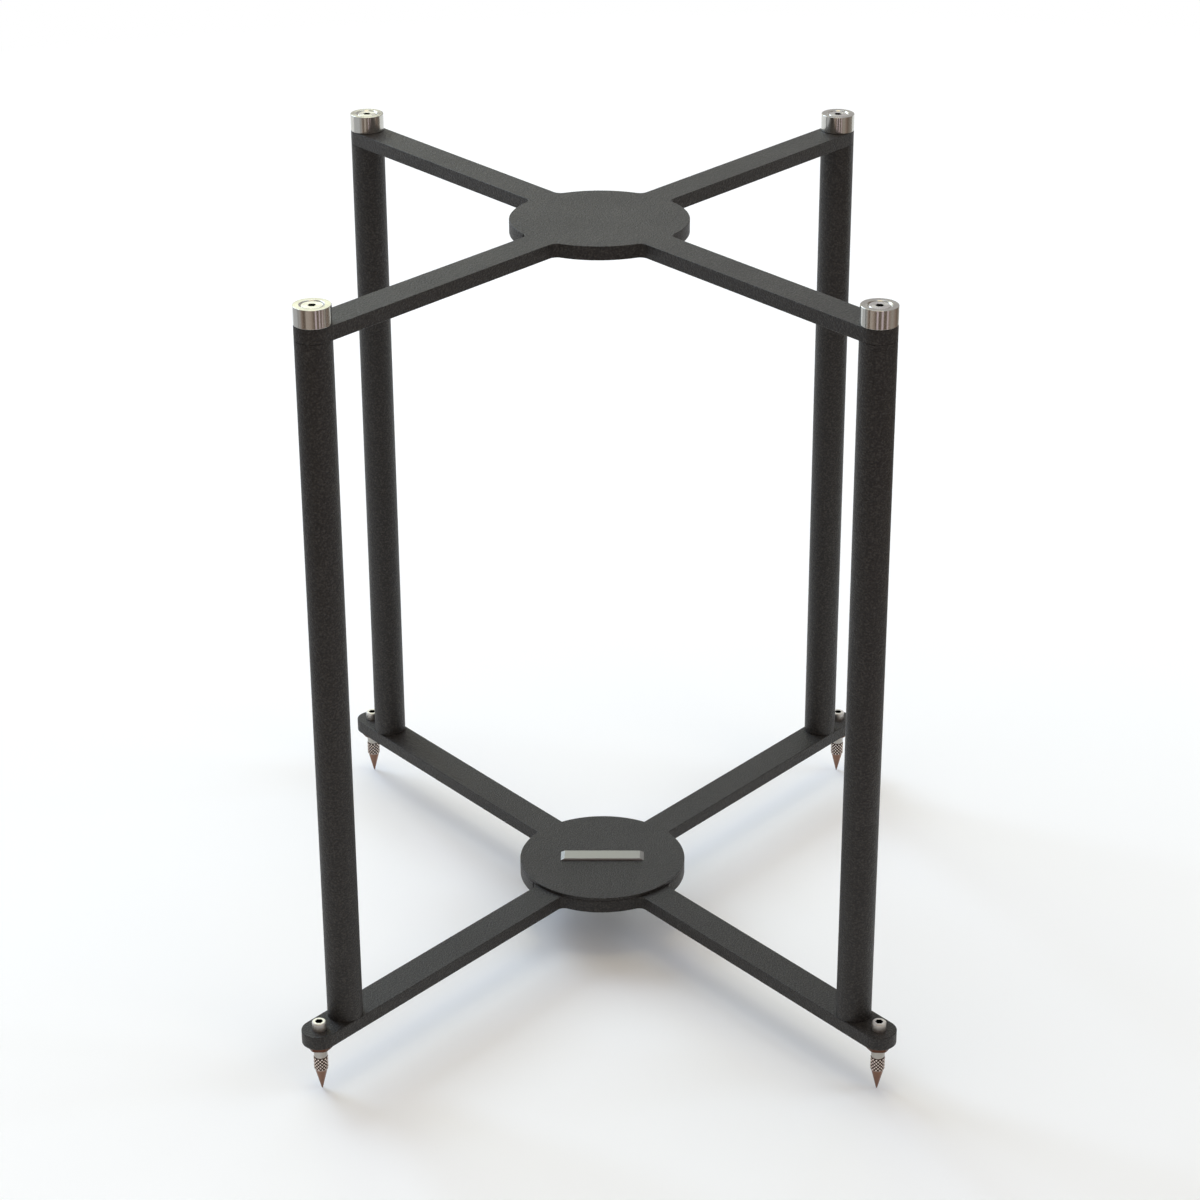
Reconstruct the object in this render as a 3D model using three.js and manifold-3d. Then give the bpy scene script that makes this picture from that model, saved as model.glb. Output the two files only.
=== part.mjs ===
// A four-column loudspeaker stand, in millimetres, +Z up.
// Origin: on the floor, midway between the four spike points. The front of the stand faces -Y.
import * as THREE from "three";
import { mergeVertices } from "three/addons/utils/BufferGeometryUtils.js";
import Module from "manifold-3d";

// ---- Driving dimensions --------------------------------------------------------------------

// Columns: round steel tubes, one at each corner
const column_spacing_x = 357.5;
const column_spacing_y = 430.5;
const column_diameter = 25;
const column_wall = 2;
const column_length = 503.7;
const plug_length = 20;

// Plates: two flat crosses with a round hub
const plate_thickness = 10;
const arm_width = 25;
const hub_diameter = 126;
const hub_fillet_radius = 6;
const plate_edge_chamfer = 0.5;

// Disc on the lower hub, and the bare name plate on the disc
const disc_diameter = 126;
const disc_thickness = 2.4;
const disc_edge_chamfer = 0.4;
const name_plate_length = 63.7;
const name_plate_width = 12.8;
const name_plate_height = 1.5;
const name_plate_end_slope = 3; // how far each end slopes in
const name_plate_side_slope = 0.4;

// Pucks that carry the loudspeaker
const puck_diameter = 25;
const puck_height = 12.8;
const puck_edge_chamfer = 0.5;

// M8 countersunk screws, with a 90 degree head, through the pucks and up into the columns
const screw_diameter = 8;
const screw_head_diameter = 15;
const countersink_diameter = 16.5;
const puck_screw_length = 35;
const column_bolt_length = 25;
const screw_tip_chamfer = 0.8;
const screw_key_width = 5;
const screw_key_depth = 3;

// M10 spikes, screwed through the outer ends of the lower arms
const spike_offset = 25.7; // from the column's axis, outwards along the arm
const spike_below_plate = 39; // from the point to the underside of the lower plate
const spike_above_plate = 6;
const spike_thread_diameter = 10;
const spike_neck_diameter = 9.6;
const spike_neck_length = 6.6;
const spike_grip_diameter = 10.2;
const spike_grip_length = 10.8;
const spike_cone_length = 16.2;
const spike_point_diameter = 0.8;
const spike_edge_chamfer = 0.6;
const spike_key_width = 5;
const spike_key_depth = 5;

// Thin lock nuts under the lower plate
const nut_width = 16; // across the flats
const nut_thickness = 4.7;
const nut_corner_chamfer = 0.8;

// Clearances
const running_gap = 0.3; // beside a shank, a plug or a countersunk head
const seat_gap = 0.05; // between faces that are clamped together

// Facets round each circle
const large_circle_facets = 72;
const column_facets = 36;
const small_circle_facets = 24;
const fillet_facets = 4;

// ---- Levels and places that follow ---------------------------------------------------------

const lower_plate_z = spike_below_plate;
const lower_plate_top_z = lower_plate_z + plate_thickness;
const column_z = lower_plate_top_z + seat_gap;
const column_top_z = column_z + column_length;
const upper_plate_z = column_top_z + seat_gap;
const upper_plate_top_z = upper_plate_z + plate_thickness;
const puck_z = upper_plate_top_z + seat_gap;

const arm_angle = Math.atan2(column_spacing_y, column_spacing_x);
const column_reach = Math.hypot(column_spacing_x, column_spacing_y) / 2;
const spike_reach = column_reach + spike_offset;

const screw_hole_radius = screw_diameter / 2 + running_gap;
const spike_hole_radius = spike_thread_diameter / 2 + running_gap;
const head_recess = (countersink_diameter - screw_head_diameter) / 2 - running_gap;

const corners = [
  { name: "front_left", angle: Math.PI + arm_angle },
  { name: "front_right", angle: -arm_angle },
  { name: "rear_right", angle: arm_angle },
  { name: "rear_left", angle: Math.PI - arm_angle },
];

// ---- Materials -----------------------------------------------------------------------------

const finish = (color, roughness, metalness) =>
  new THREE.MeshStandardMaterial({ color, roughness, metalness });
const powder_coat = finish(0x2b2b2a, 0.75, 0.0);
const turned_steel = finish(0xb9b6b1, 0.22, 1.0);
const screw_steel = finish(0xc4c2bd, 0.3, 1.0);
const spike_steel = finish(0xa9a199, 0.25, 1.0);
const plain_steel = finish(0x8a8a88, 0.5, 1.0);
const badge_metal = finish(0xc9c9c6, 0.25, 1.0);

// ---- Solids --------------------------------------------------------------------------------

const wasm = await Module();
wasm.setup();

// A closed three.js geometry as a solid that can be cut and joined.
function solid(geometry) {
  const bare = new THREE.BufferGeometry();
  bare.setAttribute("position", geometry.getAttribute("position"));
  bare.setIndex(geometry.getIndex());
  const merged = mergeVertices(bare, 1e-4);
  return new wasm.Manifold(
    new wasm.Mesh({
      numProp: 3,
      vertProperties: merged.getAttribute("position").array,
      triVerts: new Uint32Array(merged.getIndex().array),
    }),
  );
}

// A solid as a three.js geometry again.
function geometryOf(made) {
  const mesh = made.getMesh();
  const geometry = new THREE.BufferGeometry();
  geometry.setAttribute("position", new THREE.BufferAttribute(mesh.vertProperties, 3));
  geometry.setIndex(new THREE.BufferAttribute(mesh.triVerts, 1));
  geometry.computeVertexNormals();
  return geometry;
}

// Turns a profile of [radius, height] points about the Z axis.
function turned(profile, facets) {
  const points = profile.map(([radius, height]) => new THREE.Vector2(radius, height));
  return new THREE.LatheGeometry(points, facets).rotateX(Math.PI / 2);
}

// A hexagonal prism that stands on the XY plane, with two of its flats facing along Y.
function hexPrism(across_flats, height) {
  const across_corners = across_flats / Math.cos(Math.PI / 6);
  const prism = new THREE.CylinderGeometry(across_corners / 2, across_corners / 2, height, 6);
  return prism
    .rotateX(Math.PI / 2)
    .rotateZ(Math.PI / 2)
    .translate(0, 0, height / 2);
}

// A cutter for a plain round hole through a plate that stands on the XY plane.
function holeCutter(radius) {
  const overrun = 1;
  const cutter = new THREE.CylinderGeometry(
    radius,
    radius,
    plate_thickness + 2 * overrun,
    small_circle_facets,
  );
  return cutter.rotateX(Math.PI / 2).translate(0, 0, plate_thickness / 2);
}

// A cutter for a hole with a 90 degree countersink in the plate's underside.
function countersunkCutter() {
  const overrun = 1;
  const mouth_radius = countersink_diameter / 2;
  const sink_depth = mouth_radius - screw_hole_radius;
  return turned(
    [
      [0, -overrun],
      [mouth_radius + overrun, -overrun],
      [screw_hole_radius, sink_depth],
      [screw_hole_radius, plate_thickness + overrun],
      [0, plate_thickness + overrun],
    ],
    small_circle_facets,
  );
}

// ---- Plates --------------------------------------------------------------------------------

function arcPoints(centre_x, centre_y, radius, from, to, steps) {
  const points = [];
  for (let i = 0; i <= steps; i++) {
    const angle = from + ((to - from) * i) / steps;
    points.push([centre_x + radius * Math.cos(angle), centre_y + radius * Math.sin(angle)]);
  }
  return points;
}

// The outline of a hub with four arms, each rounded at its end, anticlockwise.
function crossOutline(arm_reach) {
  const half_width = arm_width / 2;
  const hub_radius = hub_diameter / 2;
  const fillet_offset = half_width + hub_fillet_radius;
  const fillet_reach = Math.sqrt((hub_radius + hub_fillet_radius) ** 2 - fillet_offset ** 2);
  const fillet_bearing = Math.atan2(fillet_offset, fillet_reach);
  const quarter = Math.PI / 2;
  const outline = [];
  corners.forEach(({ angle }, i) => {
    const arm = [
      ...arcPoints(
        fillet_reach,
        -fillet_offset,
        hub_fillet_radius,
        Math.PI - fillet_bearing,
        quarter,
        fillet_facets,
      ),
      ...arcPoints(arm_reach, 0, half_width, -quarter, quarter, column_facets / 2),
      ...arcPoints(
        fillet_reach,
        fillet_offset,
        hub_fillet_radius,
        -quarter,
        fillet_bearing - Math.PI,
        fillet_facets,
      ),
    ];
    for (const [along, across] of arm)
      outline.push(new THREE.Vector2(along, across).rotateAround(new THREE.Vector2(), angle));
    const next_angle = corners[(i + 1) % corners.length].angle;
    const turn = THREE.MathUtils.euclideanModulo(next_angle - angle, 2 * Math.PI);
    const hub_arc = arcPoints(
      0,
      0,
      hub_radius,
      angle + fillet_bearing,
      angle + turn - fillet_bearing,
      large_circle_facets / 4,
    );
    for (const [x, y] of hub_arc.slice(1, -1)) outline.push(new THREE.Vector2(x, y));
  });
  return outline;
}

// A cross-shaped plate on the XY plane, with its edges chamfered.
function crossPlate(arm_reach) {
  const extruded = new THREE.ExtrudeGeometry(new THREE.Shape(crossOutline(arm_reach)), {
    depth: plate_thickness - 2 * plate_edge_chamfer,
    bevelThickness: plate_edge_chamfer,
    bevelSize: plate_edge_chamfer,
    bevelOffset: -plate_edge_chamfer,
    bevelSegments: 1,
  });
  return solid(extruded.translate(0, 0, plate_edge_chamfer));
}

// Cuts the same hole through a plate at the same reach along each arm.
function cutAlongArms(plate, cutter, reach) {
  let cut = plate;
  for (const { angle } of corners) {
    const placed = cutter.clone().translate(reach, 0, 0).rotateZ(angle);
    cut = cut.subtract(solid(placed));
  }
  return cut;
}

function upperPlate() {
  const plate = crossPlate(column_reach);
  return geometryOf(cutAlongArms(plate, holeCutter(screw_hole_radius), column_reach));
}

function lowerPlate() {
  const plate = crossPlate(spike_reach);
  const bolted = cutAlongArms(plate, countersunkCutter(), column_reach);
  return geometryOf(cutAlongArms(bolted, holeCutter(spike_hole_radius), spike_reach));
}

// ---- Columns, pucks and their screws -------------------------------------------------------

function ring(outer_radius, inner_radius, length, facets) {
  return turned(
    [
      [inner_radius, 0],
      [outer_radius, 0],
      [outer_radius, length],
      [inner_radius, length],
      [inner_radius, 0],
    ],
    facets,
  );
}

function column() {
  const radius = column_diameter / 2;
  return ring(radius, radius - column_wall, column_length, column_facets);
}

// A plug fixed inside each end of a column, tapped for the screw that holds the plate.
function columnPlug() {
  const radius = column_diameter / 2 - column_wall - running_gap;
  return ring(radius, screw_hole_radius, plug_length, small_circle_facets);
}

function puck() {
  const radius = puck_diameter / 2;
  const mouth_radius = countersink_diameter / 2;
  return turned(
    [
      [screw_hole_radius, 0],
      [radius - puck_edge_chamfer, 0],
      [radius, puck_edge_chamfer],
      [radius, puck_height - puck_edge_chamfer],
      [radius - puck_edge_chamfer, puck_height],
      [mouth_radius, puck_height],
      [screw_hole_radius, puck_height - (mouth_radius - screw_hole_radius)],
      [screw_hole_radius, 0],
    ],
    column_facets,
  );
}

// A countersunk screw with its head's flat face on the XY plane and its shank below.
function countersunkScrew(length) {
  const head_radius = screw_head_diameter / 2;
  const shank_radius = screw_diameter / 2;
  const blank = turned(
    [
      [0, -length],
      [shank_radius - screw_tip_chamfer, -length],
      [shank_radius, screw_tip_chamfer - length],
      [shank_radius, shank_radius - head_radius],
      [head_radius, 0],
      [0, 0],
    ],
    small_circle_facets,
  );
  const overrun = 1;
  const socket = hexPrism(screw_key_width, screw_key_depth + overrun);
  socket.translate(0, 0, -screw_key_depth);
  return geometryOf(solid(blank).subtract(solid(socket)));
}

// ---- Spikes and lock nuts ------------------------------------------------------------------

// A spike with its point at the origin: cone, grip, neck and thread, with a key socket on top.
function spike() {
  const thread_radius = spike_thread_diameter / 2;
  const neck_radius = spike_neck_diameter / 2;
  const grip_radius = spike_grip_diameter / 2;
  const grip_top = spike_cone_length + spike_grip_length;
  const neck_top = grip_top + spike_neck_length;
  const length = spike_below_plate + plate_thickness + spike_above_plate;
  const blank = turned(
    [
      [0, 0],
      [spike_point_diameter / 2, 0],
      [grip_radius, spike_cone_length],
      [grip_radius, grip_top - (grip_radius - neck_radius)],
      [neck_radius, grip_top],
      [neck_radius, neck_top - (thread_radius - neck_radius)],
      [thread_radius, neck_top],
      [thread_radius, length - spike_edge_chamfer],
      [thread_radius - spike_edge_chamfer, length],
      [0, length],
    ],
    small_circle_facets,
  );
  const overrun = 1;
  const socket = hexPrism(spike_key_width, spike_key_depth + overrun);
  socket.translate(0, 0, length - spike_key_depth);
  return geometryOf(solid(blank).subtract(solid(socket)));
}

// A hexagon nut on the XY plane, with its corners turned back at both faces.
function lockNut() {
  const corner_radius = nut_width / 2 / Math.cos(Math.PI / 6);
  const face_radius = corner_radius - nut_corner_chamfer;
  const chamfer_height = nut_corner_chamfer * Math.tan(Math.PI / 6);
  const turned_blank = turned(
    [
      [spike_hole_radius, 0],
      [face_radius, 0],
      [corner_radius, chamfer_height],
      [corner_radius, nut_thickness - chamfer_height],
      [face_radius, nut_thickness],
      [spike_hole_radius, nut_thickness],
      [spike_hole_radius, 0],
    ],
    small_circle_facets,
  );
  return geometryOf(solid(hexPrism(nut_width, nut_thickness)).intersect(solid(turned_blank)));
}

// ---- Disc and name plate -------------------------------------------------------------------

function hubDisc() {
  const radius = disc_diameter / 2;
  return turned(
    [
      [0, 0],
      [radius - disc_edge_chamfer, 0],
      [radius, disc_edge_chamfer],
      [radius, disc_thickness - disc_edge_chamfer],
      [radius - disc_edge_chamfer, disc_thickness],
      [0, disc_thickness],
    ],
    large_circle_facets,
  );
}

// A bare bar whose ends slope in to a flat face, with its long sides all but upright.
function namePlate() {
  const base = new THREE.BoxGeometry(name_plate_length, name_plate_width, name_plate_height);
  base.translate(0, 0, name_plate_height / 2);
  const position = base.getAttribute("position");
  for (let i = 0; i < position.count; i++) {
    if (position.getZ(i) < name_plate_height / 2) continue;
    const x = position.getX(i);
    const y = position.getY(i);
    position.setX(i, x - Math.sign(x) * name_plate_end_slope);
    position.setY(i, y - Math.sign(y) * name_plate_side_slope);
  }
  return base;
}

// ---- Assembly ------------------------------------------------------------------------------

const stand = new THREE.Group();

function place(parent, name, geometry, material, z) {
  const mesh = new THREE.Mesh(geometry, material);
  mesh.name = name;
  mesh.position.z = z;
  parent.add(mesh);
  return mesh;
}

place(stand, "bottom_plate", lowerPlate(), powder_coat, lower_plate_z);
place(stand, "top_plate", upperPlate(), powder_coat, upper_plate_z);
const disc_z = lower_plate_top_z + seat_gap;
place(stand, "hub_disc", hubDisc(), powder_coat, disc_z);
place(stand, "name_plate", namePlate(), badge_metal, disc_z + disc_thickness + seat_gap);

// What stands at a reach along one arm, held upright and square to the stand.
function uprightGroup(angle, reach) {
  const group = new THREE.Group();
  group.position.set(reach * Math.cos(angle), reach * Math.sin(angle), 0);
  stand.add(group);
  return group;
}

for (const { name, angle } of corners) {
  const post = uprightGroup(angle, column_reach);
  place(post, `column_${name}`, column(), powder_coat, column_z);
  place(post, `column_bottom_plug_${name}`, columnPlug(), plain_steel, column_z);
  place(post, `column_top_plug_${name}`, columnPlug(), plain_steel, column_top_z - plug_length);
  place(post, `support_puck_${name}`, puck(), turned_steel, puck_z);
  const puck_screw_z = puck_z + puck_height - head_recess;
  place(post, `puck_screw_${name}`, countersunkScrew(puck_screw_length), screw_steel, puck_screw_z);
  const bolt_geometry = countersunkScrew(column_bolt_length).rotateX(Math.PI);
  place(post, `column_bolt_${name}`, bolt_geometry, screw_steel, lower_plate_z + head_recess);

  const foot = uprightGroup(angle, spike_reach);
  place(foot, `spike_${name}`, spike(), spike_steel, 0);
  const nut_z = lower_plate_z - seat_gap - nut_thickness;
  place(foot, `lock_nut_${name}`, lockNut(), spike_steel, nut_z);
}

export default stand;
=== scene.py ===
"""A speaker stand: cross plates and columns in black powder coat, bright pucks, knurled spikes.

Lengths are in metres, +Z is up and the front of the stand faces -Y. Places come from the frame.
"""

import math

import bmesh
import bpy
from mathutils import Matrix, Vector


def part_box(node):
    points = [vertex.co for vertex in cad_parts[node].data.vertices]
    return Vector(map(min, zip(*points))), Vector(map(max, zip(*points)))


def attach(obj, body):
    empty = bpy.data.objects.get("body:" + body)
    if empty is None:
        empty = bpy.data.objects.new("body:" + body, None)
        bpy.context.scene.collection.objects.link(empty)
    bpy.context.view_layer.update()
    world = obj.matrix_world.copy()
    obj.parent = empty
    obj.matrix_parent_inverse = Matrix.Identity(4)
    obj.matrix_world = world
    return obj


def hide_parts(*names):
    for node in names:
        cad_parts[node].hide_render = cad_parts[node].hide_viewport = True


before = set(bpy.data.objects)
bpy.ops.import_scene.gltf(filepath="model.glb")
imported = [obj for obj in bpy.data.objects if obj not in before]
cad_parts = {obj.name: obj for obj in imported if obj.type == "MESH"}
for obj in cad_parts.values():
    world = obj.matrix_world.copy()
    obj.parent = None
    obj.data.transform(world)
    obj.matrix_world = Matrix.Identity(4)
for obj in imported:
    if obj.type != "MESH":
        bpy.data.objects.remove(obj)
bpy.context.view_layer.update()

# ---- Sizes ---------------------------------------------------------------------------------

CORNERS = ("front_left", "front_right", "rear_right", "rear_left")

# Plates
HUB_FILLET_RADIUS = 0.006
PLATE_EDGE_RADIUS = 0.0005

# Columns
COLUMN_WALL = 0.002
COLUMN_EDGE_RADIUS = 0.0002

# Disc and name plate
DISC_EDGE_RADIUS = 0.0004
NAME_PLATE_END_SLOPE = 0.003
NAME_PLATE_SIDE_SLOPE = 0.0004
NAME_PLATE_EDGE_RADIUS = 0.00012

# Pucks and the countersunk M8 screws and bolts
COUNTERSINK_RADIUS = 0.00825
SCREW_HOLE_RADIUS = 0.0043
SCREW_HEAD_RADIUS = 0.0071
SCREW_HEAD_RECESS = 0.00045
SCREW_HEAD_EDGE = 0.0002
SCREW_SEAT_GAP = 0.00005
SCREW_RADIUS = 0.004
SCREW_TIP_CHAMFER = 0.0008
SCREW_KEY_WIDTH = 0.005
SCREW_KEY_DEPTH = 0.004
PUCK_EDGE_RADIUS = 0.0004

# Spikes, from the point upwards
SPIKE_POINT_RADIUS = 0.0004
CONE_LENGTH = 0.0162
GRIP_LENGTH = 0.0108
NECK_LENGTH = 0.0066
NECK_RADIUS = 0.0048
THREAD_RADIUS = 0.005
SPIKE_HOLE_RADIUS = 0.0053
SPIKE_TOP_CHAMFER = 0.0006
SPIKE_KEY_WIDTH = 0.005
SPIKE_KEY_DEPTH = 0.005

# Diamond knurl: diamonds round the grip and rows of diamonds along it
KNURL_ROUND = 12
KNURL_ROWS = 4
KNURL_DEPTH = 0.0006
# Painted shade in the knurl's grooves
KNURL_GROOVE_PAINTED_SHADE = (0.018, 0.011, 0.008)

# Painted shade inside the hexagon sockets: how far from the axis, and how far below the face
SOCKET_REACH = 0.0031
SOCKET_LIP = 0.0001
SOCKET_PAINTED_SHADE = (0.015, 0.015, 0.015)

# Lock nuts
NUT_CORNER_CHAMFER = 0.0008

# Facets round each circle
HUB_STEPS = 40  # for each of the hub's four arcs
ARM_END_STEPS = 48
FILLET_STEPS = 10
COLUMN_STEPS = 96
SMALL_STEPS = 64

# The floor is plain white beyond this reach, and the sky near the level
WHITE_FROM = 1.6
WHITE_BY = 3.0
WHITE_SKY_UP_TO = 0.07
PLAIN_SKY_FROM = 0.2
SKY_STRENGTH = 0.55

WELD = 1e-6  # points closer than this are one point
OVERRUN = 0.001  # how far a cutting tool runs on past the piece it cuts
SMOOTH_ANGLE = math.radians(32)

# Cards round the front, as colours by their bearing in degrees
CARD_REACH = 0.7
CARD_TOP = 1.3
CARDS_FROM = -115
CARDS_TO = 125
PALE_CARD = (0.62, 0.63, 0.65)
BROWN_CARD = (0.33, 0.25, 0.21)
DARK_CARD = (0.19, 0.145, 0.115)
LILAC_STRIP = (0.72, 0.60, 0.64)
CARD_COLOURS = (
    (CARDS_FROM, PALE_CARD),
    (-73, PALE_CARD),
    (-70, (0.40, 0.39, 0.38)),
    (-60, (0.50, 0.48, 0.47)),
    (-50, BROWN_CARD),
    (-44, DARK_CARD),
    (-38, DARK_CARD),
    (-34, (0.52, 0.45, 0.40)),
    (-22, (0.50, 0.42, 0.37)),
    (-14, (0.42, 0.33, 0.28)),
    (-4, DARK_CARD),
    (0.8, DARK_CARD),
    (1, LILAC_STRIP),
    (8, LILAC_STRIP),
    (8.2, DARK_CARD),
    (20.8, DARK_CARD),
    (21, LILAC_STRIP),
    (28, LILAC_STRIP),
    (28.2, DARK_CARD),
    (39.8, DARK_CARD),
    (40, LILAC_STRIP),
    (46, LILAC_STRIP),
    (46.2, BROWN_CARD),
    (62, (0.42, 0.38, 0.34)),
    (80, BROWN_CARD),
    (92, DARK_CARD),
    (CARDS_TO, (0.40, 0.37, 0.33)),
)

# Soft boxes: name, place, width, height, power and colour
LAMP_AIM = (0, 0, 0.2)
LAMPS = (
    ("cool key", (-4.634, 4.634, 4.788), 4.0, 4.0, 300, (0.62, 0.78, 1.0)),
    ("rear box", (-2.32, 6.04, 4.90), 4.8, 4.6, 88, (0.95, 1.0, 0.70)),
    ("overhead", (0, -0.01, 8.2), 3.2, 3.2, 80, (1.0, 0.82, 0.46)),
    ("right fill", (6.554, 0, 4.788), 3.2, 3.2, 96, (0.66, 0.82, 1.0)),
    ("front fill", (4.634, -4.634, 4.788), 3.2, 3.2, 36, (1.0, 0.77, 0.43)),
    ("high rear box", (0, 4.0, 7.128), 3.2, 3.2, 48, (0.62, 0.74, 1.0)),
)
SKY_COLOUR = (1.0, 0.965, 0.95, 1)

# Camera
FILM_WIDTH = 36
LENS_LENGTH = 90.43
LENS_SHIFT = (-0.02558, -0.0035)
CAMERA_PLACE = (0.024285, -2.010678, 1.214697)
CAMERA_LOOKS_DOWN = 25.114
CAMERA_TURN = 0.0727


# ---- Places that come from the frame -------------------------------------------------------

def axis_of(node):
    """The upright axis of a round node, as a point at floor level."""
    low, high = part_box(node)
    return Vector(((low.x + high.x) / 2, (low.y + high.y) / 2, 0))


def levels(node):
    """The heights of a node's underside and top."""
    low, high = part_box(node)
    return low.z, high.z


def radius_of(node):
    """Half the width of a round node."""
    low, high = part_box(node)
    return (high.x - low.x) / 2


FIRST = CORNERS[0]
COLUMN_AXIS = {corner: axis_of(f"column_{corner}") for corner in CORNERS}
SPIKE_AXIS = {corner: axis_of(f"spike_{corner}") for corner in CORNERS}
COLUMN_RADIUS = radius_of(f"column_{FIRST}")
HUB_RADIUS = radius_of("hub_disc")
COLUMN_REACH = COLUMN_AXIS[FIRST].length
SPIKE_REACH = SPIKE_AXIS[FIRST].length


# ---- Modelling by hand, in code ------------------------------------------------------------

def deselect():
    bpy.ops.object.select_all(action="DESELECT")


def take(obj):
    """Selects one object and makes it the active one."""
    deselect()
    obj.select_set(True)
    bpy.context.view_layer.objects.active = obj


def edit(obj):
    take(obj)
    bpy.ops.object.mode_set(mode="EDIT")


def leave():
    bpy.ops.object.mode_set(mode="OBJECT")


def pick(obj, kind, rule):
    """In edit mode, selects only the points, edges or faces whose middle passes a rule."""
    bpy.ops.mesh.select_mode(type=kind)
    bpy.ops.mesh.select_all(action="DESELECT")
    mesh = bmesh.from_edit_mesh(obj.data)
    parts = {"VERT": mesh.verts, "EDGE": mesh.edges, "FACE": mesh.faces}[kind]
    for part in parts:
        if kind == "FACE":
            centre = part.calc_center_median()
        elif kind == "EDGE":
            centre = (part.verts[0].co + part.verts[1].co) / 2
        else:
            centre = part.co
        if rule(centre):
            part.select_set(True)
    mesh.select_flush_mode()
    bmesh.update_edit_mesh(obj.data)


def pen_down(name, place):
    """A new piece that is one point, selected in edit mode and ready to be drawn out."""
    deselect()
    bpy.ops.mesh.primitive_plane_add(size=0.01, location=place)
    obj = bpy.context.object
    obj.name = name
    bpy.ops.object.transform_apply(location=True, rotation=True, scale=True)
    bpy.ops.object.mode_set(mode="EDIT")
    bpy.ops.mesh.select_mode(type="VERT")
    bpy.ops.mesh.select_all(action="SELECT")
    bpy.ops.mesh.merge(type="CENTER")
    return obj


def pen_by(step):
    bpy.ops.mesh.extrude_region_move(TRANSFORM_OT_translate={"value": step})


def pen_arc(centre, angle, steps):
    """Draws an arc, anticlockwise from above where the angle is positive."""
    bpy.ops.mesh.spin(steps=steps, angle=angle, center=centre, axis=(0, 0, -1))


def close_up():
    """Welds the drawing and turns its faces outwards, then leaves edit mode."""
    bpy.ops.mesh.select_all(action="SELECT")
    bpy.ops.mesh.remove_doubles(threshold=WELD)
    bpy.ops.mesh.normals_make_consistent(inside=False)
    leave()


def turned(name, axis, profile, steps):
    """A lathe-turned piece: half its section, as (radius, height) points, spun about its axis."""
    radius, height = profile[0]
    obj = pen_down(name, (axis.x + radius, axis.y, height))
    for (from_radius, from_height), (to_radius, to_height) in zip(profile, profile[1:]):
        pen_by((to_radius - from_radius, 0, to_height - from_height))
    bpy.ops.mesh.select_all(action="SELECT")
    bpy.ops.mesh.spin(steps=steps, angle=2 * math.pi, center=axis, axis=(0, 0, 1))
    close_up()
    return obj


def cylinder(name, axis, radius, bottom, top, steps):
    deselect()
    place = (axis.x, axis.y, (bottom + top) / 2)
    bpy.ops.mesh.primitive_cylinder_add(
        vertices=steps, radius=radius, depth=top - bottom, location=place
    )
    obj = bpy.context.object
    obj.name = name
    bpy.ops.object.transform_apply(location=True, rotation=True, scale=True)
    return obj


def hex_prism(name, axis, width, bottom, top):
    """A hexagonal bar with two of its flats facing along Y."""
    deselect()
    place = (axis.x, axis.y, (bottom + top) / 2)
    corner_radius = width / 2 / math.cos(math.pi / 6)
    bpy.ops.mesh.primitive_cylinder_add(
        vertices=6,
        radius=corner_radius,
        depth=top - bottom,
        location=place,
        rotation=(0, 0, math.pi / 6),
    )
    obj = bpy.context.object
    obj.name = name
    bpy.ops.object.transform_apply(location=True, rotation=True, scale=True)
    return obj


def apply_last(obj):
    take(obj)
    bpy.ops.object.modifier_apply(modifier=obj.modifiers[-1].name)


def combine(obj, tool, operation):
    """Cuts a piece with a tool, or keeps what they share, and takes the tool away."""
    cut = obj.modifiers.new("cut", "BOOLEAN")
    cut.object = tool
    cut.operation = operation
    cut.solver = "EXACT"
    apply_last(obj)
    bpy.data.objects.remove(tool, do_unlink=True)


def round_edges(obj, radius, segments=3, angle=40):
    bevel = obj.modifiers.new("rounded edges", "BEVEL")
    bevel.width = radius
    bevel.segments = segments
    bevel.limit_method = "ANGLE"
    bevel.angle_limit = math.radians(angle)
    bevel.use_clamp_overlap = True
    bevel.miter_outer = "MITER_ARC"
    apply_last(obj)


def shade(obj):
    """Smooth round surfaces, with flat faces kept flat beside their rounded edges."""
    take(obj)
    bpy.ops.object.shade_smooth_by_angle(angle=SMOOTH_ANGLE)
    weights = obj.modifiers.new("flat faces", "WEIGHTED_NORMAL")
    weights.keep_sharp = True
    weights.weight = 100
    apply_last(obj)


def copy_to(obj, name, shift):
    """A copy with its own mesh, moved across the floor, with its place in its mesh."""
    take(obj)
    bpy.ops.object.duplicate(linked=False)
    twin = bpy.context.object
    twin.name = name
    bpy.ops.transform.translate(value=shift)
    bpy.ops.object.transform_apply(location=True, rotation=True, scale=True)
    return twin


def give(obj, material, slot, body, *nodes):
    """Gives a piece its finish, hangs it on the body it rides on, and hides the nodes it stands
    for.
    """
    obj.data.materials.clear()
    obj.data.materials.append(material)
    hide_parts(*nodes)
    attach(obj, body)


# ---- Materials -----------------------------------------------------------------------------

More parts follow.
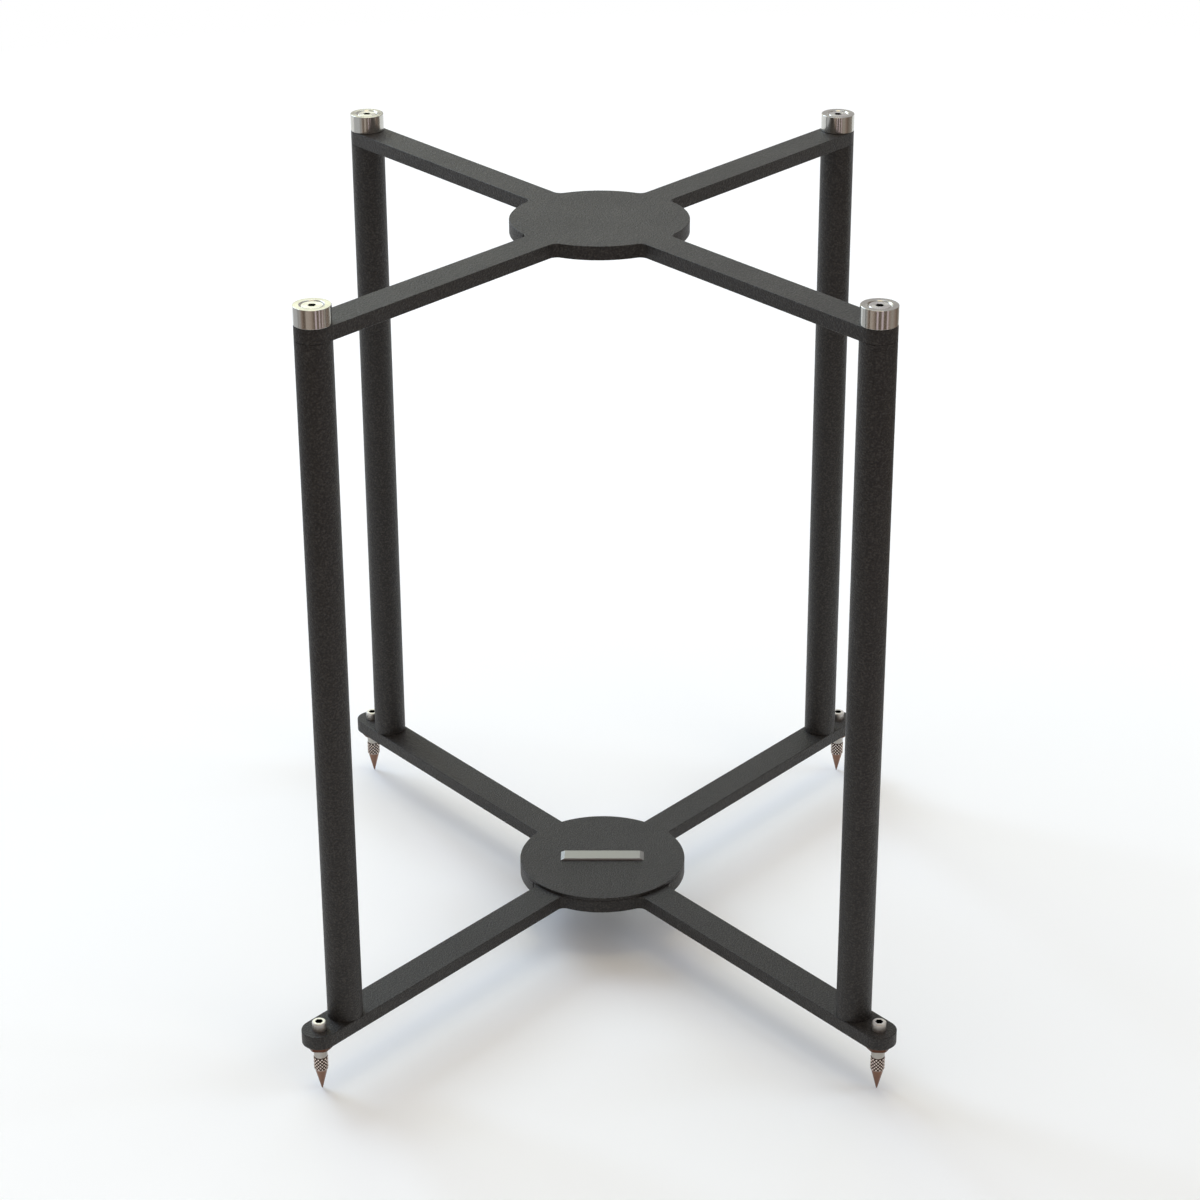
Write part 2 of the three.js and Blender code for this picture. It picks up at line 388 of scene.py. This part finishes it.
class Finish:
    """A material's node tree, with short ways to add what the finishes here need."""

    def __init__(self, name):
        self.material = bpy.data.materials.new(name)
        self.material.use_nodes = True
        self.nodes = self.material.node_tree.nodes
        self.links = self.material.node_tree.links
        self.shader = self.nodes["Principled BSDF"]
        self.place = self.nodes.new("ShaderNodeTexCoord").outputs["Object"]

    def link(self, source, target):
        self.links.new(source, target)

    def noise(self, scale, detail, vector=None):
        node = self.nodes.new("ShaderNodeTexNoise")
        node.inputs["Scale"].default_value = scale
        node.inputs["Detail"].default_value = detail
        self.link(vector or self.place, node.inputs["Vector"])
        return node.outputs["Fac"]

    def lines(self, scale, value):
        """Noise along one measure only, such as a radius or a height."""
        node = self.nodes.new("ShaderNodeTexNoise")
        node.noise_dimensions = "1D"
        node.inputs["Scale"].default_value = scale
        node.inputs["Detail"].default_value = 3
        self.link(value, node.inputs["W"])
        return node.outputs["Fac"]

    def ramp(self, factor, *stops):
        node = self.nodes.new("ShaderNodeValToRGB")
        elements = node.color_ramp.elements
        for position, colour in stops[2:]:
            elements.new(position)
        for element, (position, colour) in zip(elements, stops):
            element.position = position
            element.color = (*colour, 1)
        self.link(factor, node.inputs["Fac"])
        return node.outputs["Color"]

    def spread(self, factor, from_low, from_high, to_low, to_high):
        node = self.nodes.new("ShaderNodeMapRange")
        node.inputs["From Min"].default_value = from_low
        node.inputs["From Max"].default_value = from_high
        node.inputs["To Min"].default_value = to_low
        node.inputs["To Max"].default_value = to_high
        self.link(factor, node.inputs["Value"])
        return node.outputs["Result"]

    def maths(self, operation, *values):
        """Sums of one number: each value is a link or a plain number."""
        node = self.nodes.new("ShaderNodeMath")
        node.operation = operation
        for socket, value in zip(node.inputs, values):
            if isinstance(value, (int, float)):
                socket.default_value = value
            else:
                self.link(value, socket)
        return node.outputs["Value"]

    def blend(self, share, base, colour):
        """A colour laid over what is there, as far as the share says."""
        node = self.nodes.new("ShaderNodeMix")
        node.data_type = "RGBA"
        self.link(share, node.inputs["Factor"])
        self.link(base, node.inputs["A"])
        node.inputs["B"].default_value = (*colour, 1)
        return node.outputs["Result"]

    def vector_maths(self, operation, first, second=None):
        node = self.nodes.new("ShaderNodeVectorMath")
        node.operation = operation
        self.link(first, node.inputs[0])
        if second is not None:
            node.inputs[1].default_value = second
        return node

    def about_axes(self, axis):
        """Object coordinates about whichever of the four mirrored upright axes is near."""
        folded = self.vector_maths("ABSOLUTE", self.place).outputs["Vector"]
        corner = (abs(axis.x), abs(axis.y), 0)
        return self.vector_maths("SUBTRACT", folded, corner).outputs["Vector"]

    def split(self, vector):
        node = self.nodes.new("ShaderNodeSeparateXYZ")
        self.link(vector, node.inputs["Vector"])
        return node.outputs

    def radius(self, vector):
        flat = self.vector_maths("MULTIPLY", vector, (1, 1, 0)).outputs["Vector"]
        return self.vector_maths("LENGTH", flat).outputs["Value"]

    def bump(self, height, distance, strength=1.0, below=None):
        node = self.nodes.new("ShaderNodeBump")
        node.inputs["Strength"].default_value = strength
        node.inputs["Distance"].default_value = distance
        self.link(height, node.inputs["Height"])
        if below is not None:
            self.link(below, node.inputs["Normal"])
        return node.outputs["Normal"]

    def set(self, **values):
        for name, value in values.items():
            self.shader.inputs[name.replace("_", " ")].default_value = value


def powder_coat():
    """Fine-textured black powder coat: a close, even speckle of low grains."""
    finish = Finish("powder coat, fine texture, black")
    grains = finish.noise(scale=820, detail=3)
    cloud = finish.noise(scale=14, detail=3)
    colour = finish.ramp(
        grains,
        (0.36, (0.006, 0.0051, 0.0044)),
        (0.52, (0.0150, 0.0131, 0.0113)),
        (0.66, (0.036, 0.032, 0.028)),
    )
    finish.link(colour, finish.shader.inputs["Base Color"])
    finish.link(finish.spread(cloud, 0.3, 0.7, 0.46, 0.52), finish.shader.inputs["Roughness"])
    finish.link(finish.bump(grains, 0.0007), finish.shader.inputs["Normal"])
    finish.set(Specular_IOR_Level=0.4)
    return finish.material


def turned_metal(name, colour, axis, roughness, faces=()):
    """Bright metal off the lathe, with fine marks that run round its axis.

    A screw's faces are given as heights, and its socket gets painted shade away from them.
    """
    finish = Finish(name)
    local = finish.about_axes(axis)
    reach = finish.radius(local)
    height = finish.split(local)["Z"]
    marks = finish.lines(4200, finish.maths("ADD", reach, height))
    smears = finish.noise(scale=90, detail=2)
    shown = finish.ramp(marks, (0.3, tuple(0.88 * c for c in colour)), (0.7, colour))
    if faces:
        # Painted shade: the socket below each head's face is darkened in place of the shade in
        # the recess
        inside = finish.maths("LESS_THAN", reach, SOCKET_REACH)
        for face in faces:
            away = finish.maths("ABSOLUTE", finish.maths("SUBTRACT", height, face))
            beyond = finish.maths("GREATER_THAN", away, SOCKET_LIP)
            inside = finish.maths("MULTIPLY", inside, beyond)
        shown = finish.blend(inside, shown, SOCKET_PAINTED_SHADE)
    finish.link(shown, finish.shader.inputs["Base Color"])
    finish.link(
        finish.spread(smears, 0.3, 0.7, roughness * 0.95, roughness * 1.08),
        finish.shader.inputs["Roughness"],
    )
    finish.link(finish.bump(marks, 0.000002), finish.shader.inputs["Normal"])
    around = finish.nodes.new("ShaderNodeTangent")
    around.direction_type = "RADIAL"
    around.axis = "Z"
    finish.link(around.outputs["Tangent"], finish.shader.inputs["Tangent"])
    finish.set(Metallic=1.0, Anisotropic=0.85, Anisotropic_Rotation=0.25)
    return finish.material


def spike_metal(axis):
    """Turned steel painted by height: a warm brown painted reflection on the grip and the cone,
    painted shade on the neck, and a lighter thread and stub above it as painted light.
    """
    finish = Finish("turned steel, brown tipped")
    local = finish.about_axes(axis)
    reach = finish.radius(local)
    height = finish.split(local)["Z"]
    marks = finish.lines(4200, height)
    top = levels(f"spike_{FIRST}")[1]
    grip_top = CONE_LENGTH + GRIP_LENGTH
    neck_top = grip_top + NECK_LENGTH
    blur = 0.0002
    # Painted reflection, shade and light on one steel by height: brown cone, warm grip, darker
    # neck, lighter thread and stub
    shown = finish.ramp(
        finish.spread(height, 0, top, 0, 1),
        ((CONE_LENGTH - blur) / top, (0.23, 0.130, 0.092)),
        ((CONE_LENGTH + blur) / top, (0.66, 0.56, 0.50)),
        ((grip_top - blur) / top, (0.70, 0.62, 0.56)),
        ((grip_top + blur) / top, (0.40, 0.38, 0.35)),
        ((neck_top - blur) / top, (0.40, 0.38, 0.35)),
        ((neck_top + blur) / top, (0.68, 0.66, 0.62)),
    )
    on_grip = finish.maths(
        "MULTIPLY",
        finish.maths("GREATER_THAN", height, CONE_LENGTH + blur),
        finish.maths("LESS_THAN", height, grip_top - blur),
    )
    grip_radius = radius_of(f"spike_{FIRST}")
    # Painted shade: the grip is darker the deeper a point lies in a groove
    painted_groove_shade = finish.spread(
        reach, grip_radius - 0.7 * KNURL_DEPTH, grip_radius - 0.2 * KNURL_DEPTH, 1, 0
    )
    shown = finish.blend(finish.maths("MULTIPLY", on_grip, painted_groove_shade), shown, KNURL_GROOVE_PAINTED_SHADE)
    # Painted shade: the hexagon socket at the top of the spike is darkened in place of the shade
    # in the recess
    in_socket = finish.maths(
        "MULTIPLY",
        finish.maths("LESS_THAN", reach, SOCKET_REACH),
        finish.maths("GREATER_THAN", height, neck_top),
    )
    below = finish.maths("LESS_THAN", height, top - SOCKET_LIP)
    shown = finish.blend(finish.maths("MULTIPLY", in_socket, below), shown, SOCKET_PAINTED_SHADE)
    finish.link(shown, finish.shader.inputs["Base Color"])
    finish.link(
        finish.ramp(
            finish.spread(height, 0, top, 0, 1),
            (grip_top / top, (0.24, 0.24, 0.24)),
            (neck_top / top, (0.40, 0.40, 0.40)),
        ),
        finish.shader.inputs["Roughness"],
    )
    finish.link(finish.bump(marks, 0.000002), finish.shader.inputs["Normal"])
    finish.set(Metallic=1.0)
    return finish.material


def satin_metal(name, colour, roughness):
    """Plain bright metal with a faint, fine grain."""
    finish = Finish(name)
    grain = finish.noise(scale=2400, detail=2)
    finish.link(
        finish.ramp(grain, (0.3, tuple(0.9 * c for c in colour)), (0.7, colour)),
        finish.shader.inputs["Base Color"],
    )
    finish.link(
        finish.spread(grain, 0.3, 0.7, roughness * 0.9, roughness * 1.1),
        finish.shader.inputs["Roughness"],
    )
    finish.link(finish.bump(grain, 0.0000015), finish.shader.inputs["Normal"])
    finish.set(Metallic=1.0)
    return finish.material


def seen_or_mirrored(nodes, links):
    """1 for what the camera sees, straight or in metal or glass, and 0 for stray light."""
    path = nodes.new("ShaderNodeLightPath")
    share = path.outputs["Is Camera Ray"]
    for kind in ("Is Glossy Ray", "Is Transmission Ray"):
        most = nodes.new("ShaderNodeMath")
        most.operation = "MAXIMUM"
        links.new(share, most.inputs[0])
        links.new(path.outputs[kind], most.inputs[1])
        share = most.outputs["Value"]
    return share


def floor_paint():
    """A pale floor with painted shade, darker near the stand and towards its front right and
    paler away from it, and plain white far from it.
    """
    finish = Finish("plain pale floor")
    # Painted shade: the floor colour darkens round a point to the front right of the stand
    from_middle = finish.vector_maths("SUBTRACT", finish.place, (0.2, -0.2, 0))
    reach = finish.radius(from_middle.outputs["Vector"])
    colour = finish.ramp(
        finish.spread(reach, 0.1, 0.7, 0, 1), (0, (0.92, 0.92, 0.92)), (1, (0.99, 0.99, 0.99))
    )
    finish.link(colour, finish.shader.inputs["Base Color"])
    finish.set(Roughness=0.9)
    far = finish.spread(reach, WHITE_FROM, WHITE_BY, 0, 1)
    seen = seen_or_mirrored(finish.nodes, finish.links)
    white = finish.nodes.new("ShaderNodeEmission")
    either = finish.nodes.new("ShaderNodeMixShader")
    finish.link(finish.maths("MULTIPLY", far, seen), either.inputs["Fac"])
    finish.link(finish.shader.outputs["BSDF"], either.inputs[1])
    finish.link(white.outputs["Emission"], either.inputs[2])
    finish.link(either.outputs["Shader"], finish.nodes["Material Output"].inputs["Surface"])
    finish.material.cycles.emission_sampling = "NONE"
    return finish.material


def card_paint(colours, low, high):
    """Plain cards side by side, told apart by their bearing from the front."""
    material = bpy.data.materials.new("studio cards")
    material.use_nodes = True
    nodes = material.node_tree.nodes
    nodes.clear()
    links = material.node_tree.links
    place = nodes.new("ShaderNodeTexCoord").outputs["Object"]
    split = nodes.new("ShaderNodeSeparateXYZ")
    links.new(place, split.inputs["Vector"])
    back = nodes.new("ShaderNodeMath")
    back.operation = "MULTIPLY"
    back.inputs[1].default_value = -1
    links.new(split.outputs["Y"], back.inputs[0])
    bearing = nodes.new("ShaderNodeMath")
    bearing.operation = "ARCTAN2"
    links.new(split.outputs["X"], bearing.inputs[0])
    links.new(back.outputs["Value"], bearing.inputs[1])
    share = nodes.new("ShaderNodeMapRange")
    share.inputs["From Min"].default_value = math.radians(low)
    share.inputs["From Max"].default_value = math.radians(high)
    links.new(bearing.outputs["Value"], share.inputs["Value"])
    ramp = nodes.new("ShaderNodeValToRGB")
    ramp.color_ramp.interpolation = "LINEAR"
    elements = ramp.color_ramp.elements
    for _ in colours[2:]:
        elements.new(1.0)
    for element, (place_round, colour) in zip(elements, colours):
        element.position = (place_round - low) / (high - low)
        element.color = (*colour, 1)
    links.new(share.outputs["Result"], ramp.inputs["Fac"])
    glow = nodes.new("ShaderNodeEmission")
    links.new(ramp.outputs["Color"], glow.inputs["Color"])
    out = nodes.new("ShaderNodeOutputMaterial")
    links.new(glow.outputs["Emission"], out.inputs["Surface"])
    material.cycles.emission_sampling = "NONE"
    return material


COAT = powder_coat()
PUCK_METAL = turned_metal(
    "turned stainless steel", (0.58, 0.575, 0.54), COLUMN_AXIS[FIRST], roughness=0.18
)
SCREW_METAL = turned_metal(
    "bright screw steel",
    (0.74, 0.73, 0.71),
    COLUMN_AXIS[FIRST],
    roughness=0.24,
    faces=(levels(f"puck_screw_{FIRST}")[1], levels(f"column_bolt_{FIRST}")[0]),
)
SPIKE_METAL = spike_metal(SPIKE_AXIS[FIRST])
# Painted reflection: the steel nut is coloured dark brown for the brown ground it mirrors
NUT_METAL = satin_metal("nut steel", (0.10, 0.047, 0.031), roughness=0.3)
PLUG_METAL = satin_metal("machined plug steel", (0.45, 0.45, 0.44), roughness=0.45)
BADGE_METAL = satin_metal("satin silver", (0.34, 0.34, 0.328), roughness=0.42)


# ---- Plates --------------------------------------------------------------------------------

def cross_plate(name, node, reach):
    """A flat plate with a round hub and four arms, drawn round its edge and thickened."""
    bottom, top = levels(node)
    half_width = COLUMN_RADIUS
    offset = half_width + HUB_FILLET_RADIUS
    fillet_reach = math.sqrt((HUB_RADIUS + HUB_FILLET_RADIUS) ** 2 - offset**2)
    fillet_bearing = math.atan2(offset, fillet_reach)
    fillet_turn = math.pi / 2 - fillet_bearing
    bearings = [math.atan2(COLUMN_AXIS[c].y, COLUMN_AXIS[c].x) for c in CORNERS]

    def along(bearing, out, across):
        x = out * math.cos(bearing) - across * math.sin(bearing)
        y = out * math.sin(bearing) + across * math.cos(bearing)
        return Vector((x, y, bottom))

    first = bearings[0]
    start = along(first - fillet_bearing, HUB_RADIUS, 0)
    obj = pen_down(name, start)
    for i, bearing in enumerate(bearings):
        straight = reach - fillet_reach
        outward = along(bearing, straight, 0) - along(bearing, 0, 0)
        pen_arc(along(bearing, fillet_reach, -offset), -fillet_turn, FILLET_STEPS)
        pen_by(outward)
        pen_arc(along(bearing, reach, 0), math.pi, ARM_END_STEPS)
        pen_by(-outward)
        pen_arc(along(bearing, fillet_reach, offset), -fillet_turn, FILLET_STEPS)
        turn = (bearings[(i + 1) % len(bearings)] - bearing) % (2 * math.pi)
        pen_arc((0, 0, bottom), turn - 2 * fillet_bearing, HUB_STEPS)
    bpy.ops.mesh.select_all(action="SELECT")
    bpy.ops.mesh.remove_doubles(threshold=WELD)
    bpy.ops.mesh.edge_face_add()
    pen_by((0, 0, top - bottom))
    close_up()
    round_edges(obj, PLATE_EDGE_RADIUS)
    return obj


def drill(plate, axis, radius, bottom, top):
    combine(plate, cylinder("drill", axis, radius, bottom, top, SMALL_STEPS), "DIFFERENCE")


def upper_plate():
    plate = cross_plate("upper_cross_plate", "top_plate", COLUMN_REACH)
    bottom, top = levels("top_plate")
    for axis in COLUMN_AXIS.values():
        drill(plate, axis, SCREW_HOLE_RADIUS, bottom - OVERRUN, top + OVERRUN)
    shade(plate)
    give(plate, COAT, "powder_coat", "stand", "top_plate")


def lower_plate():
    plate = cross_plate("lower_cross_plate", "bottom_plate", SPIKE_REACH)
    bottom, top = levels("bottom_plate")
    for axis in COLUMN_AXIS.values():
        sink = turned(
            "countersink",
            axis,
            [
                (0, bottom - OVERRUN),
                (COUNTERSINK_RADIUS + OVERRUN, bottom - OVERRUN),
                (SCREW_HOLE_RADIUS, bottom + COUNTERSINK_RADIUS - SCREW_HOLE_RADIUS),
                (SCREW_HOLE_RADIUS, top + OVERRUN),
                (0, top + OVERRUN),
            ],
            SMALL_STEPS,
        )
        combine(plate, sink, "DIFFERENCE")
    for axis in SPIKE_AXIS.values():
        drill(plate, axis, SPIKE_HOLE_RADIUS, bottom - OVERRUN, top + OVERRUN)
    shade(plate)
    give(plate, COAT, "powder_coat", "stand", "bottom_plate")


def hub_disc():
    bottom, top = levels("hub_disc")
    disc = cylinder("hub_cover_disc", Vector(), HUB_RADIUS, bottom, top, 4 * HUB_STEPS)
    round_edges(disc, DISC_EDGE_RADIUS)
    shade(disc)
    give(disc, COAT, "powder_coat", "stand", "hub_disc")


def name_plate():
    """The bare name plate: a bar with a flat face, and ends that slope in to it."""
    low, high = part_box("name_plate")
    size = high - low
    deselect()
    bpy.ops.mesh.primitive_cube_add(size=1, location=(low + high) / 2, scale=size)
    plate = bpy.context.object
    plate.name = "bare_name_plate"
    bpy.ops.object.transform_apply(location=True, rotation=True, scale=True)
    edit(plate)
    pick(plate, "FACE", lambda middle: middle.z > high.z - WELD)
    slope = (1 - 2 * NAME_PLATE_END_SLOPE / size.x, 1 - 2 * NAME_PLATE_SIDE_SLOPE / size.y, 1)
    bpy.ops.transform.resize(value=slope, center_override=(low + high) / 2)
    leave()
    round_edges(plate, NAME_PLATE_EDGE_RADIUS, segments=2, angle=20)
    shade(plate)
    give(plate, BADGE_METAL, "badge_metal", "stand", "name_plate")


# ---- Columns -------------------------------------------------------------------------------

def column_tube(axis):
    bottom, top = levels(f"column_{FIRST}")
    tube = cylinder(f"column_tube_{FIRST}", axis, COLUMN_RADIUS, bottom, top, COLUMN_STEPS)
    edit(tube)
    pick(tube, "FACE", lambda middle: (middle - axis).xy.length < WELD)
    bpy.ops.mesh.inset(thickness=COLUMN_WALL)
    bpy.ops.mesh.bridge_edge_loops()
    close_up()
    round_edges(tube, COLUMN_EDGE_RADIUS, segments=2)
    shade(tube)
    return tube


# ---- Pucks and screws ----------------------------------------------------------------------

def puck(axis):
    bottom, top = levels(f"support_puck_{FIRST}")
    radius = radius_of(f"support_puck_{FIRST}")
    piece = turned(
        f"turned_puck_{FIRST}",
        axis,
        [
            (SCREW_HOLE_RADIUS, bottom),
            (radius, bottom),
            (radius, top),
            (COUNTERSINK_RADIUS, top),
            (SCREW_HOLE_RADIUS, top - (COUNTERSINK_RADIUS - SCREW_HOLE_RADIUS)),
            (SCREW_HOLE_RADIUS, bottom),
        ],
        COLUMN_STEPS,
    )
    round_edges(piece, PUCK_EDGE_RADIUS)
    shade(piece)
    return piece


def countersunk_screw(name, axis, face, tip, up):
    """A countersunk socket screw. Its head's face is at one height, and up is 1 or -1."""
    cone_foot = COUNTERSINK_RADIUS - SCREW_HEAD_RECESS + SCREW_SEAT_GAP
    piece = turned(
        name,
        axis,
        [
            (0, tip),
            (SCREW_RADIUS - SCREW_TIP_CHAMFER, tip),
            (SCREW_RADIUS, tip + up * SCREW_TIP_CHAMFER),
            (SCREW_RADIUS, face - up * (cone_foot - SCREW_RADIUS)),
            (SCREW_HEAD_RADIUS, face - up * (cone_foot - SCREW_HEAD_RADIUS)),
            (SCREW_HEAD_RADIUS, face - up * SCREW_HEAD_EDGE),
            (SCREW_HEAD_RADIUS - SCREW_HEAD_EDGE, face),
            (0, face),
        ],
        SMALL_STEPS,
    )
    ends = sorted((face - up * SCREW_KEY_DEPTH, face + up * SCREW_KEY_DEPTH))
    combine(piece, hex_prism("key", axis, SCREW_KEY_WIDTH, *ends), "DIFFERENCE")
    shade(piece)
    return piece


# ---- Spikes and lock nuts ------------------------------------------------------------------

def knurl(piece, axis, bottom, rows):
    """Presses two crossing sets of grooves into the grip, which leaves flat-topped diamonds."""
    columns = 4 * KNURL_ROUND
    pitch = GRIP_LENGTH / rows
    grip_radius = radius_of(f"spike_{FIRST}")

    def in_groove(point):
        row = round((point.z - bottom) / pitch)
        off_row = abs(point.z - bottom - row * pitch) > pitch / 8
        if off_row or not 0 <= row <= rows:
            return False
        if row in (0, rows):
            return True
        bearing = math.atan2(point.y - axis.y, point.x - axis.x)
        column = round(bearing / (2 * math.pi) * columns)
        return (column + row) % 4 == 2 or (column - row) % 4 == 2

    edit(piece)
    pick(piece, "VERT", in_groove)
    drawn_in = 1 - KNURL_DEPTH / grip_radius
    bpy.ops.transform.resize(value=(drawn_in, drawn_in, 1), center_override=axis)
    pick(piece, "FACE", lambda middle: bottom < middle.z < bottom + GRIP_LENGTH)
    bpy.ops.mesh.quads_convert_to_tris(quad_method="SHORTEST_DIAGONAL")
    leave()


def spike(axis):
    point, top = levels(f"spike_{FIRST}")
    grip_radius = radius_of(f"spike_{FIRST}")
    grip_bottom = point + CONE_LENGTH
    grip_top = grip_bottom + GRIP_LENGTH
    neck_top = grip_top + NECK_LENGTH
    rows = 4 * KNURL_ROWS
    grip = [(grip_radius, grip_bottom + GRIP_LENGTH * i / rows) for i in range(rows + 1)]
    collar = 0.0003
    profile = [(0, point), (SPIKE_POINT_RADIUS, point)]
    profile += grip
    profile += [
        (NECK_RADIUS, grip_top + collar),
        (NECK_RADIUS, neck_top - collar),
        (THREAD_RADIUS, neck_top),
        (THREAD_RADIUS, top - SPIKE_TOP_CHAMFER),
        (THREAD_RADIUS - SPIKE_TOP_CHAMFER, top),
        (0, top),
    ]
    piece = turned(f"knurled_spike_{FIRST}", axis, profile, 4 * KNURL_ROUND)
    knurl(piece, axis, grip_bottom, rows)
    key = hex_prism("key", axis, SPIKE_KEY_WIDTH, top - SPIKE_KEY_DEPTH, top + SPIKE_KEY_DEPTH)
    combine(piece, key, "DIFFERENCE")
    shade(piece)
    return piece


def lock_nut(axis):
    """A thin hexagon nut with its corners turned back at both faces."""
    bottom, top = levels(f"lock_nut_{FIRST}")
    low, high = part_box(f"lock_nut_{FIRST}")
    width = high.y - low.y
    corner_radius = width / 2 / math.cos(math.pi / 6)
    slope = math.tan(math.pi / 6)
    face_radius = corner_radius - NUT_CORNER_CHAMFER
    piece = hex_prism(f"hexagon_lock_nut_{FIRST}", axis, width, bottom, top)
    blank = turned(
        "turned blank",
        axis,
        [
            (0, bottom - OVERRUN),
            (face_radius - OVERRUN / slope, bottom - OVERRUN),
            (corner_radius + OVERRUN, bottom + slope * (NUT_CORNER_CHAMFER + OVERRUN)),
            (corner_radius + OVERRUN, top - slope * (NUT_CORNER_CHAMFER + OVERRUN)),
            (face_radius - OVERRUN / slope, top + OVERRUN),
            (0, top + OVERRUN),
        ],
        SMALL_STEPS,
    )
    combine(piece, blank, "INTERSECT")
    drill(piece, axis, SPIKE_HOLE_RADIUS, bottom - OVERRUN, top + OVERRUN)
    shade(piece)
    return piece


# ---- The four corners ----------------------------------------------------------------------

def at_corners(first_piece, axes, material, slot, node, body):
    """Copies a piece to the other corners, gives each copy its finish and body, and hides the
    node it stands for.
    """
    stem = first_piece.name.removesuffix(FIRST)
    pieces = {FIRST: first_piece}
    for corner in CORNERS[1:]:
        pieces[corner] = copy_to(first_piece, stem + corner, axes[corner] - axes[FIRST])
    for corner, piece in pieces.items():
        give(piece, material, slot, body.format(corner), f"{node}_{corner}")


def corners():
    post = COLUMN_AXIS[FIRST]
    foot = SPIKE_AXIS[FIRST]
    screw_tip, screw_face = levels(f"puck_screw_{FIRST}")
    bolt_face, bolt_tip = levels(f"column_bolt_{FIRST}")
    screw = countersunk_screw(f"countersunk_screw_{FIRST}", post, screw_face, screw_tip, 1)
    bolt = countersunk_screw(f"countersunk_bolt_{FIRST}", post, bolt_face, bolt_tip, -1)
    at_corners(column_tube(post), COLUMN_AXIS, COAT, "powder_coat", "column", "stand")
    at_corners(puck(post), COLUMN_AXIS, PUCK_METAL, "turned_steel", "support_puck", "stand")
    at_corners(screw, COLUMN_AXIS, SCREW_METAL, "screw_steel", "puck_screw", "stand")
    at_corners(bolt, COLUMN_AXIS, SCREW_METAL, "screw_steel", "column_bolt", "stand")
    at_corners(spike(foot), SPIKE_AXIS, SPIKE_METAL, "spike_steel", "spike", "spike_{}")
    at_corners(lock_nut(foot), SPIKE_AXIS, NUT_METAL, "spike_steel", "lock_nut", "lock_nut_{}")


def column_plugs():
    """The plugs inside the columns stay as the frame has them, in machined steel."""
    for corner in CORNERS:
        for end in ("bottom", "top"):
            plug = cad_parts[f"column_{end}_plug_{corner}"]
            plug.data.materials.clear()
            plug.data.materials.append(PLUG_METAL)


# ---- Floor, light and camera ---------------------------------------------------------------

def floor():
    deselect()
    bpy.ops.mesh.primitive_plane_add(size=40)
    ground = bpy.context.object
    ground.name = "floor"
    ground.data.materials.append(floor_paint())


def cards():
    """Cards round the front, out of the picture, which only polished faces mirror."""
    first = math.radians(CARDS_FROM)
    start = (CARD_REACH * math.sin(first), -CARD_REACH * math.cos(first), 0)
    obj = pen_down("studio_cards", start)
    pen_arc((0, 0, 0), math.radians(CARDS_TO - CARDS_FROM), 120)
    bpy.ops.mesh.select_all(action="SELECT")
    pen_by((0, 0, CARD_TOP))
    close_up()
    obj.data.materials.append(card_paint(CARD_COLOURS, CARDS_FROM, CARDS_TO))
    obj.visible_camera = False
    obj.visible_diffuse = False
    obj.visible_shadow = False
    obj.visible_transmission = False


def soft_box(name, place, width, height, power, colour):
    lamp = bpy.data.lights.new(name, "AREA")
    lamp.shape = "RECTANGLE"
    lamp.size = width
    lamp.size_y = height
    lamp.energy = power
    lamp.color = colour
    holder = bpy.data.objects.new(name, lamp)
    holder.location = place
    towards = Vector(LAMP_AIM) - Vector(place)
    holder.rotation_euler = towards.to_track_quat("-Z", "Y").to_euler()
    holder.visible_camera = False
    bpy.context.scene.collection.objects.link(holder)


def white_low_sky(tree, plain):
    """The sky near the level is as white as the floor, for all but stray light."""
    nodes, links = tree.nodes, tree.links
    split = nodes.new("ShaderNodeSeparateXYZ")
    links.new(nodes.new("ShaderNodeTexCoord").outputs["Generated"], split.inputs["Vector"])
    low = nodes.new("ShaderNodeMapRange")
    low.inputs["From Min"].default_value = WHITE_SKY_UP_TO
    low.inputs["From Max"].default_value = PLAIN_SKY_FROM
    low.inputs["To Min"].default_value = 1
    low.inputs["To Max"].default_value = 0
    links.new(split.outputs["Z"], low.inputs["Value"])
    share = nodes.new("ShaderNodeMath")
    share.operation = "MULTIPLY"
    links.new(low.outputs["Result"], share.inputs[0])
    links.new(seen_or_mirrored(nodes, links), share.inputs[1])
    white = nodes.new("ShaderNodeBackground")
    white.inputs["Color"].default_value = (1, 1, 1, 1)
    either = nodes.new("ShaderNodeMixShader")
    links.new(share.outputs["Value"], either.inputs["Fac"])
    links.new(plain.outputs["Background"], either.inputs[1])
    links.new(white.outputs["Background"], either.inputs[2])
    links.new(either.outputs["Shader"], nodes["World Output"].inputs["Surface"])


def light():
    world = bpy.data.worlds.new("studio")
    bpy.context.scene.world = world
    world.use_nodes = True
    background = world.node_tree.nodes["Background"]
    background.inputs["Color"].default_value = SKY_COLOUR
    background.inputs["Strength"].default_value = SKY_STRENGTH
    white_low_sky(world.node_tree, background)
    for lamp in LAMPS:
        soft_box(*lamp)


def camera():
    """The camera of the photograph: 25 degrees above the level, on a long lens."""
    lens = bpy.data.cameras.new("camera")
    lens.sensor_width = FILM_WIDTH
    lens.lens = LENS_LENGTH
    lens.shift_x, lens.shift_y = LENS_SHIFT
    eye = bpy.data.objects.new("camera", lens)
    eye.location = CAMERA_PLACE
    eye.rotation_euler = (math.radians(90 - CAMERA_LOOKS_DOWN), 0, math.radians(CAMERA_TURN))
    bpy.context.scene.collection.objects.link(eye)
    bpy.context.scene.camera = eye


upper_plate()
lower_plate()
hub_disc()
name_plate()
corners()
column_plugs()
floor()
cards()
light()
camera()

bpy.context.scene.view_settings.view_transform = "Standard"
